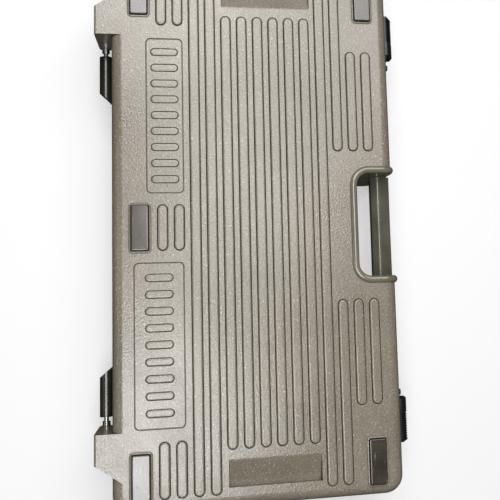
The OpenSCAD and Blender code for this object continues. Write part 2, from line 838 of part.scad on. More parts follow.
// The power lead: a trunk between the two foam blocks, a feed from the box and a branch to every plug.
module power_lead() {
    reach_x = bay_x(bays - 1) + branch_d;
    color(black_color) {
        translate([-reach_x, lead_y, lead_z]) rotate([0, 90, 0]) cylinder(d = lead_d, h = 2 * reach_x);
        for (i = [0 : bays - 1]) translate([bay_x(i), lead_y, lead_z]) rotate([90, 0, 0])
            cylinder(d = branch_d, h = lead_y - plug_y - 0.3);
        translate([0, lead_y, lead_z]) rotate([-90, 0, 0])
            cylinder(d = branch_d, h = box_y0 - lead_y + relief_in - 2);
    }
}

module power_plugs() {
    color(black_color) for (i = [0 : bays - 1]) translate([bay_x(i), plug_y, lead_z]) rotate([90, 0, 0])
        difference() {
            union() {
                cylinder(d = plug_d, h = plug_l);
                translate([0, 0, plug_l - eps]) cylinder(d = plug_tip_d, h = plug_tip_l);
            }
            translate([0, 0, plug_l]) cylinder(d = plug_bore_d, h = plug_tip_l + cut, $fn = bore_fn);
        }
}

// ---------------------------------------------------------------- lid

// Children drawn as for the lower shell come out upside down as the lid, at the drawing's lid angle.
module as_lid() {
    lid_turn() translate([0, 0, case_h]) mirror([0, 0, 1]) children();
}

module lid_turn() {
    translate([0, hinge_y, split_z]) rotate([-lid_angle, 0, 0]) translate([0, -hinge_y, -split_z]) children();
}

module at_hinge_screws() {
    for (side = [-1, 1], x = hinge_screw_xs)
        translate([side * x, half_d + leaf_t, hinge_screw_z]) rotate([-90, 0, 0]) children();
}

module lid_plaque() {
    first = lid_plaque_rows[0];
    last = lid_plaque_rows[1];
    translate([0, rib_y0 - (first + last) / 2 * rib_pitch, lid_face - cut])
        linear_extrude(cut + plaque_depth)
            rounded_rect(lid_plaque_l, (last - first) * rib_pitch + rib_w, lid_plaque_r);
}

module lid_shell() {
    color(case_color) {
        lid_turn() difference() {
            union() {
                translate([0, 0, case_h]) mirror([0, 0, 1]) {
                    difference() {
                        tray_block(lid_face);
                        tray_hollow(lid_face);
                    }
                    for (row = [0 : rib_rows - 1], s = lid_spans(row)) rib(s, row, lid_face);
                }
                at_hinge_screws() translate([0, 0, -leaf_t - wall - boss_l])
                    cylinder(r = boss_r, h = boss_l + wall / 2);
            }
            translate([0, 0, case_h]) mirror([0, 0, 1]) {
                well_cut();
                at_well_screws(lid_face) screw_hole(wall + 2 * cut);
                lid_plaque();
            }
            at_hinge_screws() screw_hole(hinge_screw_l + 2);
            for (x = slider_rest) translate([x + stud_offset, -half_d - cut, stud_z]) rotate([-90, 0, 0])
                cylinder(d = stud_thread_d + 2 * thread_gap, h = wall + 2 * cut, $fn = bore_fn);
        }
    }
}

module lid_handle_well() {
    color(rim_color) as_lid() well(lid_face);
}

module lid_well_screws() {
    color(steel_color) as_lid() at_well_screws(lid_face) screw(well_screw_l);
}

module lid_foam() {
    z1 = case_h - lid_face - wall - eps;
    color(foam_color) lid_turn() translate([0, 0, z1 - lid_foam_t]) linear_extrude(lid_foam_t) difference() {
        rounded_rect(2 * inner_x - edge_r, 2 * inner_y - edge_r, corner_r);
        opening_outline(well_room);
    }
}

// ---------------------------------------------------------------- hinges

// A leaf on the lid's rear wall with a knuckle around the hinge axis and a sloped inner end.
module hinge_knuckle() {
    difference() {
        intersection() {
            translate([0, 0, split_z - knuckle_d]) linear_extrude(2 * knuckle_d + leaf_h) polygon([
                [leaf_x0, half_d], [knuckle_x1, half_d], [knuckle_x1, rear_y + cut],
                [knuckle_x0, rear_y + cut], [leaf_x0, half_d + leaf_t],
            ]);
            translate([leaf_x0 - cut, 0, 0]) union() {
                translate([0, hinge_y, split_z]) rotate([0, 90, 0])
                    cylinder(d = knuckle_d, h = knuckle_x1 - leaf_x0 + 2 * cut);
                rotate([90, 0, 90]) linear_extrude(knuckle_x1 - leaf_x0 + 2 * cut) polygon([
                    [half_d, leaf_z0], [half_d, leaf_z0 + leaf_h], [half_d + leaf_t, leaf_z0 + leaf_h],
                    [half_d + leaf_t, leaf_z0 + leaf_rib_h], [hinge_y + 3, split_z + 4], [hinge_y, split_z],
                    [hinge_y - 3, split_z + 2],
                ]);
            }
        }
        translate([pin_x0 - 0.5, hinge_y, split_z]) rotate([0, 90, 0])
            cylinder(d = pin_d + 2 * pin_press, h = knuckle_x1 - pin_x0 + cut, $fn = bore_fn);
    }
}

module hinge_leaf_side(side) {
    lid_turn() difference() {
        mirror([side < 0 ? 1 : 0, 0, 0]) hinge_knuckle();
        at_hinge_screws() screw_hole(leaf_t + cut);
    }
}

module left_hinge_knuckle() { color(black_color) hinge_leaf_side(-1); }
module right_hinge_knuckle() { color(black_color) hinge_leaf_side(1); }

module hinge_pin() {
    lid_turn() translate([0, hinge_y, split_z]) rotate([0, 90, 0]) {
        translate([0, 0, pin_x0]) cylinder(d = pin_d, h = pin_x1 - pin_x0, $fn = bore_fn);
        translate([0, 0, collar_x0]) cylinder(d = collar_d, h = collar_x1 - collar_x0);
    }
}

module left_hinge_pin() { color(steel_color) mirror([1, 0, 0]) hinge_pin(); }
module right_hinge_pin() { color(steel_color) hinge_pin(); }

module hinge_screws() {
    color(steel_color) lid_turn() at_hinge_screws() screw(hinge_screw_l);
}

// ---------------------------------------------------------------- nodes

base_shell();
handle_well();
well_screws();
handle_grip();
grip_screws();
front_left_foot();
front_right_foot();
rear_left_foot();
rear_center_foot();
rear_right_foot();
left_latch_guide();
right_latch_guide();
latch_guide_screws();
left_latch_slider();
right_latch_slider();
floor_pad();
pedal_foam();
rear_foam();
junction_box();
junction_box_cover();
cover_screws();
phone_jacks();
jack_nuts();
power_socket();
power_lead();
power_plugs();
lid_shell();
lid_handle_well();
lid_well_screws();
lid_foam();
left_latch_stud();
right_latch_stud();
stud_nuts();
left_hinge_knuckle();
right_hinge_knuckle();
left_hinge_pin();
right_hinge_pin();
hinge_screws();
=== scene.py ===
"""Looks of the pedalboard case: moulded shells, rubber feet, handle, latches, hinges and foam lining."""
import json
import math

import bmesh
import bpy
import numpy as np
from mathutils import Matrix, Vector


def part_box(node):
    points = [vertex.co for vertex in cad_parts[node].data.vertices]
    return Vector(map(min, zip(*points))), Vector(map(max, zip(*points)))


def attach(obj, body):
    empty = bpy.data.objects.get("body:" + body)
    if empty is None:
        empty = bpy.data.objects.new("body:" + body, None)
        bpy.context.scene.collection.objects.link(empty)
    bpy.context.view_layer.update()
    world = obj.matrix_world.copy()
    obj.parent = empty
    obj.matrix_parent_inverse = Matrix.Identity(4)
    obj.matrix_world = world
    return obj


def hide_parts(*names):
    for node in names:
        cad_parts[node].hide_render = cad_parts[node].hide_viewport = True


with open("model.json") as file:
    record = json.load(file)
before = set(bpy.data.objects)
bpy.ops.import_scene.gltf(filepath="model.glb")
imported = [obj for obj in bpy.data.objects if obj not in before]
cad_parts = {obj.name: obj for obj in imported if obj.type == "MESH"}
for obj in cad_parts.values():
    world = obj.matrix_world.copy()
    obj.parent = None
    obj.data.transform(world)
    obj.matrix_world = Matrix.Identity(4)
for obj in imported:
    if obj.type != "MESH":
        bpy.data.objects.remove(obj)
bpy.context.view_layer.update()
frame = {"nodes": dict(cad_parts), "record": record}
nodes = frame["nodes"]

MM = 0.001

# ---------------------------------------------------------------- sizes, in mm, from the frame


def box_mm(node):
    """Lowest and highest corner of a CAD node, in mm."""
    low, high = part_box(node)
    return Vector(low) / MM, Vector(high) / MM


base_low, base_high = box_mm("base_shell")
lid_low, lid_high = box_mm("lid_shell")
foot_low, foot_high = box_mm("rear_center_foot")
_, knuckle_high = box_mm("right_hinge_knuckle")
_, well_high = box_mm("handle_well")
grip_low, grip_high = box_mm("handle_grip")

CASE_H = lid_high.z
HALF_L = base_high.x
HALF_D = lid_high.y
REAR_Y = base_high.y
SPLIT_Z = CASE_H / 2
SPLIT_GAP = lid_low.z - SPLIT_Z
RIB_H = 2.0
BASE_FACE = base_low.z + RIB_H
LID_FACE = RIB_H
WALL = 3.0
CORNER_R = 20.0
EDGE_R = 12.0
TONGUE_H = 2.2
KNUCKLE_R = 7.0
HINGE_Y = knuckle_high.y - KNUCKLE_R

RIB_ROWS = 14
RIB_PITCH = 17.5
RIB_W = 10.0
GROOVE_DEPTH = 0.6
RIB_Y0 = 100.9
RIB_END = HALF_L - 15
RIB_RECESS_END = HALF_L - 60.2
PLAQUE_IN = 24.0
PLAQUE_OUT = HALF_L - 71.4
GRIP_HALF = grip_high.x + 0.1
HANDLE_RIB = GRIP_HALF + 25.4
FRONT_RIB_END = HALF_L - 97.8
OPENING_Y = -HALF_D + 42
OPENING_R = 14.0
LINER_T = 3.0
RIM_W = well_high.x - GRIP_HALF
RIM_H = 3.2

FOOT_X = HALF_L - 36.6
FOOT_Y = (foot_low.y + foot_high.y) / 2
FOOT_L = foot_high.x - foot_low.x
FOOT_W = foot_high.y - foot_low.y
FOOT_SINK = foot_high.z - BASE_FACE
FEET = {
    "front_left_foot": (-FOOT_X, -FOOT_Y),
    "front_right_foot": (FOOT_X, -FOOT_Y),
    "rear_left_foot": (-FOOT_X, FOOT_Y),
    "rear_center_foot": (0.0, FOOT_Y),
    "rear_right_foot": (FOOT_X, FOOT_Y),
}

BLOCK_X0, BLOCK_X1, BLOCK_FACE_X1 = 211.0, 253.5, 241.5
BLOCK_SLOPE = (BLOCK_X1 - BLOCK_FACE_X1) / (REAR_Y - HALF_D)
EAR_L = 18.0
PIN_BORE_R = 2.6

# Panels on the underside: centre x, centre y, length, width
PLAQUES = [(-122.0, 97.7, 170.0, 39.0), (123.0, 105.0, 172.0, 52.0)]
PLAQUE_DEPTH = 0.6
PLAQUE_BAR_PITCH, PLAQUE_BAR_W, PLAQUE_BAR_L = 17.5, 7.0, 28.0

# The blank panel on the lid, which covers the rib rows from the first to the second of these
LID_PLAQUE_L = 220.0
LID_PLAQUE_ROWS = (4, 7)
LID_PLAQUE_GAP = 12.0

RECESS_X0, RECESS_X1 = HALF_L - 50.4, HALF_L - 21
RECESS_Y0, RECESS_Y1 = -63.5, 35.5
RECESS_DEPTH = 8.0

# ---------------------------------------------------------------- mesh helpers


def make_object(name, verts, faces, material):
    """An object from vertices in mm and faces, with its faces turned outwards."""
    mesh = bpy.data.meshes.new(name)
    mesh.from_pydata([(x * MM, y * MM, z * MM) for x, y, z in verts], [], faces)
    mesh.validate()
    piece = bpy.data.objects.new(name, mesh)
    bpy.context.scene.collection.objects.link(piece)
    if material:
        mesh.materials.append(material)
    outward(mesh)
    return piece


def outward(mesh):
    """Turns every face of a closed mesh outwards."""
    bm = bmesh.new()
    bm.from_mesh(mesh)
    bmesh.ops.recalc_face_normals(bm, faces=bm.faces)
    bm.to_mesh(mesh)
    bm.free()


def stack(loops):
    """Vertices and faces of a closed skin through loops of equal length, capped at both ends."""
    n = len(loops[0])
    verts = [p for loop in loops for p in loop]
    faces = []
    for k in range(len(loops) - 1):
        for i in range(n):
            j = (i + 1) % n
            faces.append((k * n + i, k * n + j, (k + 1) * n + j, (k + 1) * n + i))
    faces.append(tuple(range(n))[::-1])
    faces.append(tuple(range((len(loops) - 1) * n, len(loops) * n)))
    return verts, faces


def merge(parts):
    """One list of vertices and faces from several."""
    verts, faces = [], []
    for part_verts, part_faces in parts:
        start = len(verts)
        verts += list(part_verts)
        faces += [tuple(i + start for i in face) for face in part_faces]
    return verts, faces


def rounded_loop(cx, cy, half_x, half_y, radius, grow, z, steps=8):
    """A rounded rectangle as a loop of points; grow moves its outline out, or in where negative."""
    r = max(radius + grow, 0.05)
    points = []
    for quarter, (sx, sy) in enumerate(((1, 1), (-1, 1), (-1, -1), (1, -1))):
        for i in range(steps + 1):
            a = math.pi / 2 * (quarter + i / steps)
            x = cx + sx * (half_x - radius) + r * math.cos(a)
            y = cy + sy * (half_y - radius) + r * math.sin(a)
            points.append((x, y, z))
    return points


def apply_modifiers(piece):
    """Replaces a piece's mesh with what its modifiers make of it."""
    graph = bpy.context.evaluated_depsgraph_get()
    mesh = bpy.data.meshes.new_from_object(piece.evaluated_get(graph))
    piece.modifiers.clear()
    piece.data = mesh
    return piece


def boolean(piece, other, operation):
    """Cuts other from piece or joins it, and deletes other."""
    modifier = piece.modifiers.new("boolean", "BOOLEAN")
    modifier.operation = operation
    modifier.object = other
    modifier.solver = "EXACT"
    apply_modifiers(piece)
    bpy.data.objects.remove(other)


def bevel(piece, width, segments, angle=35):
    """Rounds the sharp edges of a piece by a width in mm."""
    modifier = piece.modifiers.new("bevel", "BEVEL")
    modifier.width = width * MM
    modifier.segments = segments
    modifier.limit_method = "ANGLE"
    modifier.angle_limit = math.radians(angle)
    modifier.harden_normals = False
    modifier.miter_outer = "MITER_ARC"
    return piece


def shade(mesh, angle=32):
    """Smooth shading with the edges above an angle kept sharp."""
    bm = bmesh.new()
    bm.from_mesh(mesh)
    for face in bm.faces:
        face.smooth = True
    limit = math.radians(angle)
    for edge in bm.edges:
        edge.smooth = len(edge.link_faces) == 2 and edge.calc_face_angle(0) < limit
    bm.to_mesh(mesh)
    bm.free()


def weighted(piece):
    """Normals weighted by face area, so that flat faces stay flat beside small round ones."""
    modifier = piece.modifiers.new("normals", "WEIGHTED_NORMAL")
    modifier.keep_sharp = True
    modifier.weight = 80
    return piece


def finish_mesh(piece, angle=32):
    """Shading of a piece whose mesh is final."""
    shade(piece.data, angle)
    weighted(piece)
    return apply_modifiers(piece)


def turn_over(verts):
    """The points of the lower half, turned over into the lid."""
    return [(x, y, CASE_H - z) for x, y, z in verts]


def place(piece, body, node):
    """Lets a piece ride on a body in place of a CAD node."""
    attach(piece, body)
    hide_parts(node)
    return piece


# ---------------------------------------------------------------- materials


class Shader:
    """A small helper that adds nodes to a material and links them."""

    def __init__(self, name):
        """Starts a material with its default surface node."""
        self.material = bpy.data.materials.new(name)
        self.material.use_nodes = True
        self.tree = self.material.node_tree
        self.surface = self.tree.nodes["Principled BSDF"]
        self.coords = self.add("ShaderNodeTexCoord").outputs["Object"]

    def add(self, kind, inputs=None, **settings):
        """Adds a node; inputs are values or the outputs of other nodes."""
        node = self.tree.nodes.new(kind)
        for key, value in settings.items():
            setattr(node, key, value)
        for key, value in (inputs or {}).items():
            self.put(node.inputs[key], value)
        return node

    def put(self, socket, value):
        """Links an output to a socket, or sets the socket to a plain value."""
        if isinstance(value, bpy.types.NodeSocket):
            self.tree.links.new(value, socket)
        else:
            socket.default_value = value

    def noise(self, scale, detail=2.0, roughness=0.5, stretch=None):
        """Noise from 0 to 1; scale counts features per metre."""
        inputs = {"Vector": self.coords, "Scale": scale, "Detail": detail, "Roughness": roughness}
        if stretch:
            mapping = self.add("ShaderNodeMapping", {"Vector": self.coords, "Scale": stretch})
            inputs["Vector"] = mapping.outputs[0]
        return self.add("ShaderNodeTexNoise", inputs).outputs["Fac"]

    def cells(self, scale, feature="SMOOTH_F1"):
        """Distance to the nearest of many scattered points."""
        inputs = {"Vector": self.coords, "Scale": scale}
        return self.add("ShaderNodeTexVoronoi", inputs, feature=feature).outputs["Distance"]

    def ramp(self, value, low, high, to_low=0.0, to_high=1.0):
        """Maps low..high onto to_low..to_high and holds the ends."""
        inputs = {0: value, 1: low, 2: high, 3: to_low, 4: to_high}
        return self.add("ShaderNodeMapRange", inputs).outputs[0]

    def multiply(self, a, b):
        """The product of two values."""
        return self.add("ShaderNodeMath", {0: a, 1: b}, operation="MULTIPLY").outputs[0]

    def mix(self, factor, a, b):
        """A colour between a and b."""
        node = self.add("ShaderNodeMix", data_type="RGBA")
        for key, value in (("Factor", factor), ("A", a), ("B", b)):
            self.put(node.inputs[key], value)
        return node.outputs["Result"]

    def lerp(self, factor, a, b):
        """A number between a and b."""
        node = self.add("ShaderNodeMix", data_type="FLOAT")
        for key, value in (("Factor", factor), ("A", a), ("B", b)):
            self.put(node.inputs[key], value)
        return node.outputs["Result"]

    def crevice(self, distance):
        """1 in the open, 0 deep in a corner, over a distance in mm."""
        inputs = {"Distance": distance * MM}
        node = self.add("ShaderNodeAmbientOcclusion", inputs, samples=6, only_local=True)
        return node.outputs["AO"]

    def edges(self, radius):
        """0 on flats, up to 1 on edges that a bevel of that radius in mm would round."""
        bevelled = self.add("ShaderNodeBevel", {"Radius": radius * MM}, samples=4).outputs[0]
        normal = self.add("ShaderNodeNewGeometry").outputs["Normal"]
        dot = self.add("ShaderNodeVectorMath", {0: bevelled, 1: normal}, operation="DOT_PRODUCT")
        return self.ramp(dot.outputs["Value"], 0.995, 0.8)

    def bump(self, height, distance, strength=1.0, normal=None):
        """A normal tilted by a height map whose full height is a distance in mm."""
        inputs = {"Height": height, "Distance": distance * MM, "Strength": strength}
        if normal:
            inputs["Normal"] = normal
        return self.add("ShaderNodeBump", inputs).outputs[0]

    def finish(self, color, roughness, normal=None, **extra):
        """Sets the surface and returns the material; extra names use _ for a space."""
        self.put(self.surface.inputs["Base Color"], color)
        self.put(self.surface.inputs["Roughness"], roughness)
        if normal:
            self.put(self.surface.inputs["Normal"], normal)
        for key, value in extra.items():
            self.put(self.surface.inputs[key.replace("_", " ")], value)
        return self.material


def rgb(red, green, blue):
    """A colour as seen on a screen, from 0 to 255, in linear light."""
    out = []
    for value in (red, green, blue):
        c = value / 255
        out.append(c / 12.92 if c <= 0.04045 else ((c + 0.055) / 1.055) ** 2.4)
    return (*out, 1.0)


def case_material():
    """Moulded taupe plastic with a pebble grain, dust, scuffs, paler edges that are partly wear and
    partly painted highlight, and painted shade in the crevices beside the ribs.
    """
    s = Shader("case_plastic")
    patches = s.ramp(s.noise(9.0, 3.0), 0.35, 0.65)
    color = s.mix(patches, rgb(117, 109, 96), rgb(129, 121, 107))
    grain = s.noise(620.0, 2.0, 0.6)
    color = s.mix(s.ramp(grain, 0.42, 0.3, 0.0, 0.55), color, rgb(76, 69, 57))
    color = s.mix(s.ramp(grain, 0.58, 0.72, 0.0, 0.6), color, rgb(196, 188, 168))
    dust = s.ramp(s.noise(330.0, 2.0, 0.5), 0.7, 0.76, 0.0, 0.7)
    color = s.mix(dust, color, rgb(214, 206, 190))
    scuffs = s.noise(60.0, 6.0, 0.75, stretch=(0.35, 1.0, 1.0))
    color = s.mix(s.ramp(scuffs, 0.62, 0.78, 0.0, 0.16), color, rgb(172, 162, 142))
    # Paler edges: partly worn plastic, partly a painted highlight along the rounded edges.
    edge_wear_and_highlight = s.multiply(s.edges(0.7), s.ramp(s.noise(140.0, 3.0), 0.3, 0.7, 0.15, 0.5))
    color = s.mix(edge_wear_and_highlight, color, rgb(196, 187, 168))
    open_air = s.crevice(2.2)
    # Painted shade: the colour goes dark at the ribs' feet and in every crevice, where shade falls; the
    # roughness rises there too.
    painted_shade = s.ramp(open_air, 0.55, 0.88, 1.0, 0.0)
    color = s.mix(painted_shade, color, rgb(28, 23, 14))
    normal = s.bump(s.cells(560.0), 0.14, 1.0)
    normal = s.bump(grain, 0.1, 0.9, normal)
    rough = s.ramp(s.noise(30.0, 4.0), 0.3, 0.7, 0.22, 0.3)
    rough = s.lerp(painted_shade, rough, 0.9)
    sheen = s.ramp(open_air, 0.5, 0.85, 0.0, 0.75)
    return s.finish(color, rough, normal, Specular_IOR_Level=sheen)


def rim_material():
    """Smoother and shinier plastic of the rim and liner round the hand opening."""
    s = Shader("rim_plastic")
    patches = s.ramp(s.noise(25.0, 3.0), 0.35, 0.65)
    color = s.mix(patches, rgb(104, 100, 84), rgb(118, 113, 96))
    # Paler edges: partly worn plastic, partly a painted highlight along the rounded edges.
    edge_wear_and_highlight = s.multiply(s.edges(0.5), s.ramp(s.noise(200.0, 3.0), 0.35, 0.7, 0.0, 0.4))
    color = s.mix(edge_wear_and_highlight, color, rgb(190, 182, 165))
    # Painted shade: the colour goes dark in the crevices round the rim, where shade falls.
    painted_shade = s.ramp(s.crevice(2.2), 0.55, 0.9, 1.0, 0.0)
    color = s.mix(painted_shade, color, rgb(24, 21, 14))
    scratches = s.noise(180.0, 4.0, 0.7, stretch=(0.1, 1.0, 1.0))
    normal = s.bump(scratches, 0.02, 0.5)
    rough = s.ramp(s.noise(60.0, 4.0), 0.3, 0.7, 0.14, 0.22)
    return s.finish(color, rough, normal, Specular_IOR_Level=0.9)


def grip_material():
    """Olive-grey plastic of the grip bar, paler along its ridges, partly where hands have polished it
    and partly as a painted highlight.
    """
    s = Shader("grip_plastic")
    patches = s.ramp(s.noise(30.0, 3.0), 0.35, 0.65)
    color = s.mix(patches, rgb(84, 82, 70), rgb(98, 96, 82))
    # Paler ridges: partly worn plastic, partly a painted highlight along the rounded edges.
    edge_wear_and_highlight = s.multiply(s.edges(0.6), s.ramp(s.noise(120.0, 4.0), 0.3, 0.7, 0.1, 0.6))
    color = s.mix(edge_wear_and_highlight, color, rgb(120, 118, 104))
    normal = s.bump(s.noise(400.0, 3.0), 0.03, 0.4)
    rough = s.ramp(s.noise(50.0, 4.0), 0.3, 0.7, 0.18, 0.3)
    return s.finish(color, rough, normal, Specular_IOR_Level=0.8)


def rubber_material():
    """Shiny dark rubber with dust and long pale scuffs."""
    s = Shader("foot_rubber")
    patches = s.ramp(s.noise(40.0, 4.0), 0.3, 0.7)
    color = s.mix(patches, rgb(50, 45, 38), rgb(66, 60, 52))
    dust = s.ramp(s.noise(220.0, 5.0, 0.7), 0.6, 0.74, 0.0, 0.4)
    color = s.mix(dust, color, rgb(150, 142, 128))
    scuffs = s.ramp(s.noise(300.0, 4.0, 0.7, stretch=(0.15, 1.0, 1.0)), 0.62, 0.7, 0.0, 0.5)
    color = s.mix(scuffs, color, rgb(176, 168, 152))
    # Painted shade: the colour goes dark in the creases round the pad, where shade falls.
    color = s.mix(s.ramp(s.crevice(1.2), 0.4, 0.9, 0.85, 0.0), color, rgb(22, 19, 15))
    normal = s.bump(s.noise(700.0, 2.0), 0.04, 0.4)
    rough = s.ramp(s.noise(35.0, 3.0), 0.3, 0.7, 0.14, 0.24)
    rough = s.lerp(dust, rough, 0.7)
    return s.finish(color, rough, normal, Specular_IOR_Level=0.9)


def dark_plastic(name, low, high, rough_low, rough_high, grain=500.0, worn_and_highlight_edge_colour=(92, 90, 86), metal=0.0):
    """Black or dark plastic between two colours and two roughnesses, paler along its edges, partly as
    wear and partly as a painted highlight.
    """
    s = Shader(name)
    patches = s.ramp(s.noise(45.0, 4.0), 0.3, 0.7)
    color = s.mix(patches, rgb(*low), rgb(*high))
    # Paler edges: partly worn plastic, partly a painted highlight along the rounded edges.
    edge_wear_and_highlight = s.multiply(s.edges(0.35), s.ramp(s.noise(260.0, 3.0), 0.35, 0.7, 0.05, 0.5))
    color = s.mix(edge_wear_and_highlight, color, rgb(*worn_and_highlight_edge_colour))
    normal = s.bump(s.noise(grain, 3.0), 0.03, 0.5)
    rough = s.ramp(s.noise(70.0, 4.0), 0.3, 0.7, rough_low, rough_high)
    return s.finish(color, rough, normal, Metallic=metal)


def steel_material():
    """Brushed steel with a few dull spots."""
    s = Shader("steel")
    brushed = s.noise(900.0, 3.0, stretch=(0.05, 1.0, 1.0))
    color = s.mix(s.ramp(brushed, 0.3, 0.7), rgb(190, 188, 184), rgb(222, 220, 216))
    spots = s.ramp(s.noise(350.0, 5.0, 0.7), 0.6, 0.72, 0.0, 0.5)
    color = s.mix(spots, color, rgb(120, 112, 100))
    normal = s.bump(brushed, 0.01, 0.4)
    rough = s.ramp(s.noise(120.0, 3.0), 0.3, 0.7, 0.16, 0.32)
    return s.finish(color, rough, normal, Metallic=1.0)


def foam_material():
    """Charcoal foam with open pores darkened by painted shade, lint and a soft sheen."""
    s = Shader("foam")
    pores = s.cells(900.0, "F1")
    fine = s.noise(1500.0, 3.0, 0.7)
    # Painted shade: the colour goes dark in the dents of the pores.
    color = s.mix(s.ramp(pores, 0.1, 0.6), rgb(34, 34, 36), rgb(70, 70, 72))
    color = s.mix(s.ramp(s.noise(12.0, 3.0), 0.35, 0.7, 0.0, 0.35), color, rgb(86, 84, 82))
    lint = s.ramp(s.noise(420.0, 6.0, 0.8), 0.68, 0.78, 0.0, 0.4)
    color = s.mix(lint, color, rgb(128, 126, 122))
    normal = s.bump(pores, 0.5, 0.9)
    normal = s.bump(fine, 0.2, 0.6, normal)
    return s.finish(color, 0.95, normal, Sheen_Weight=0.25)


case = case_material()
rim = rim_material()
grip_mat = grip_material()
rubber = rubber_material()
latch_mat = dark_plastic("latch_plastic", (20, 20, 20), (32, 32, 32), 0.3, 0.42)
hinge_mat = dark_plastic(
    "hinge_plastic", (70, 69, 64), (88, 87, 81), 0.22, 0.32, 200.0, (120, 118, 110), 0.8
)
black_mat = dark_plastic("black_plastic", (24, 24, 25), (36, 36, 37), 0.35, 0.5)
box_mat = dark_plastic("box_plastic", (36, 36, 38), (48, 48, 50), 0.45, 0.6, 900.0)
cable_mat = dark_plastic("cable", (20, 20, 21), (30, 30, 31), 0.4, 0.55)
steel = steel_material()
foam = foam_material()

SLOT_MATERIALS = {
    "case_plastic": case,
    "rim_plastic": rim,
    "grip_plastic": grip_mat,
    "foot_rubber": rubber,
    "latch_plastic": latch_mat,
    "hinge_plastic": hinge_mat,
    "black_plastic": black_mat,
    "black_screws": black_mat,
    "box_plastic": box_mat,
    "cable": cable_mat,
    "steel": steel,
    "foam": foam,
}

# ---------------------------------------------------------------- shells


def shell_profile(face, tongue):
    """(inset from the wall, z) of a shell: from inside its floor, over the rim, to its outer face."""
    top = SPLIT_Z - SPLIT_GAP
    inner_r = EDGE_R - WALL
    points = [(EDGE_R, face + WALL)]
    for i in range(1, 7):
        a = math.pi / 2 * i / 6
        inset = WALL + inner_r * (1 - math.sin(a))
        points.append((inset, face + EDGE_R - inner_r * math.cos(a)))
    if tongue:
        step = [(WALL, SPLIT_Z - 2 * WALL), (2 * WALL, SPLIT_Z - 2 * WALL)]
        step += [(2 * WALL, SPLIT_Z + TONGUE_H - 0.5), (2 * WALL - 0.5, SPLIT_Z + TONGUE_H)]
        step += [(WALL + 0.8, SPLIT_Z + TONGUE_H), (WALL + 0.3, SPLIT_Z + TONGUE_H - 0.5)]
        points += step + [(WALL + 0.3, top)]
    else:
        points.append((WALL, top))
    points += [(0.7, top), (0.2, top - 0.2), (0.0, top - 0.7)]
    for i in range(9):
        a = math.pi / 2 * i / 8
        points.append((EDGE_R * (1 - math.cos(a)), face + EDGE_R * (1 - math.sin(a))))
    return points


def shell_body(face, tongue):
    """A tray through the loops of the shell's profile."""
    loops = []
    for inset, z in shell_profile(face, tongue):
        loops.append(rounded_loop(0, 0, HALF_L, HALF_D, CORNER_R, -inset, z, 12))
    return stack(loops)


def pill_solid(profile, start, end, across, face, width, along_y):
    """A solid with rounded ends from start to end, along X or Y, through (grow, height) pairs."""
    middle, reach, half = (start + end) / 2, (end - start) / 2, width / 2
    loops = []
    for grow, dz in profile:
        if along_y:
            loops.append(rounded_loop(across, middle, half, reach, half, grow, face + dz, 7))
        else:
            loops.append(rounded_loop(middle, across, reach, half, half, grow, face + dz, 7))
    return stack(loops)


def pill_rib(start, end, across, face, height=RIB_H, width=RIB_W, along_y=False):
    """A raised rib with rounded ends, a drafted side and a softened top edge."""
    profile = [(0.3, 0.9), (0.3, 0.0), (0.15, -0.3 * height), (-0.08, -0.6 * height)]
    profile += [(-0.35, -0.8 * height), (-0.75, -0.92 * height), (-1.3, -0.98 * height), (-2.0, -height)]
    return pill_solid(profile, start, end, across, face, width, along_y)


def groove_ring(start, end, across, face, width=RIB_W, along_y=False):
    """A solid that cuts a narrow groove round a rib's foot; the rib is joined in again afterwards."""
    profile = [(1.0, -1.0), (0.95, -0.02), (0.7, 0.7 * GROOVE_DEPTH), (0.4, GROOVE_DEPTH)]
    return pill_solid(profile, start, end, across, face, width, along_y)


def base_spans(row):
    """Where the ribs of one row of the underside start and end."""
    if row < 2:
        return [(-RIB_END, -PLAQUE_OUT), (-PLAQUE_IN, PLAQUE_IN), (PLAQUE_OUT, RIB_END)]
    if row < 4 or row == 10:
        return [(-RIB_END, RIB_END)]
    if row < 10:
        return [(-RIB_RECESS_END, RIB_RECESS_END)]
    end = RIB_END if row == 11 else FRONT_RIB_END
    return [(-end, -HANDLE_RIB), (HANDLE_RIB, end)]


def lid_spans(row):
    """The same for the lid, whose rows run through except around its blank panel."""
    if row >= 11:
        return [(-RIB_END, -HANDLE_RIB), (HANDLE_RIB, RIB_END)]
    if LID_PLAQUE_ROWS[0] <= row <= LID_PLAQUE_ROWS[1]:
        start = LID_PLAQUE_L / 2 + LID_PLAQUE_GAP
        return [(-RIB_END, -start), (start, RIB_END)]
    return [(-RIB_END, RIB_END)]


def rib_y(row):
    """The middle of a rib row; row 0 lies nearest the hinges."""
    return RIB_Y0 - row * RIB_PITCH


def panel_cutter(cx, cy, length, width, face, radius=5.0):
    """What is taken out for a shallow panel with a softened edge."""
    groove = PLAQUE_DEPTH + 0.4
    profile = [(0.5, -2.0), (0.5, -0.05), (0.2, 0.3), (0.0, groove), (-0.5, groove)]
    profile.append((-1.0, PLAQUE_DEPTH))
    loops = []
    for grow, dz in profile:
        loops.append(rounded_loop(cx, cy, length / 2, width / 2, radius, grow, face + dz))
    return stack(loops)


def foot_lip(cx, cy):
    """The thin raised frame around a rubber foot, as a solid pad that the pocket is cut from."""
    loops = []
    for grow, dz in [(2.3, 1.0), (2.3, 0.0), (2.2, -0.45), (1.9, -0.85), (1.4, -1.1), (0.8, -1.2)]:
        loops.append(rounded_loop(cx, cy, FOOT_L / 2, FOOT_W / 2, 2.0, grow, BASE_FACE + dz))
    return stack(loops)


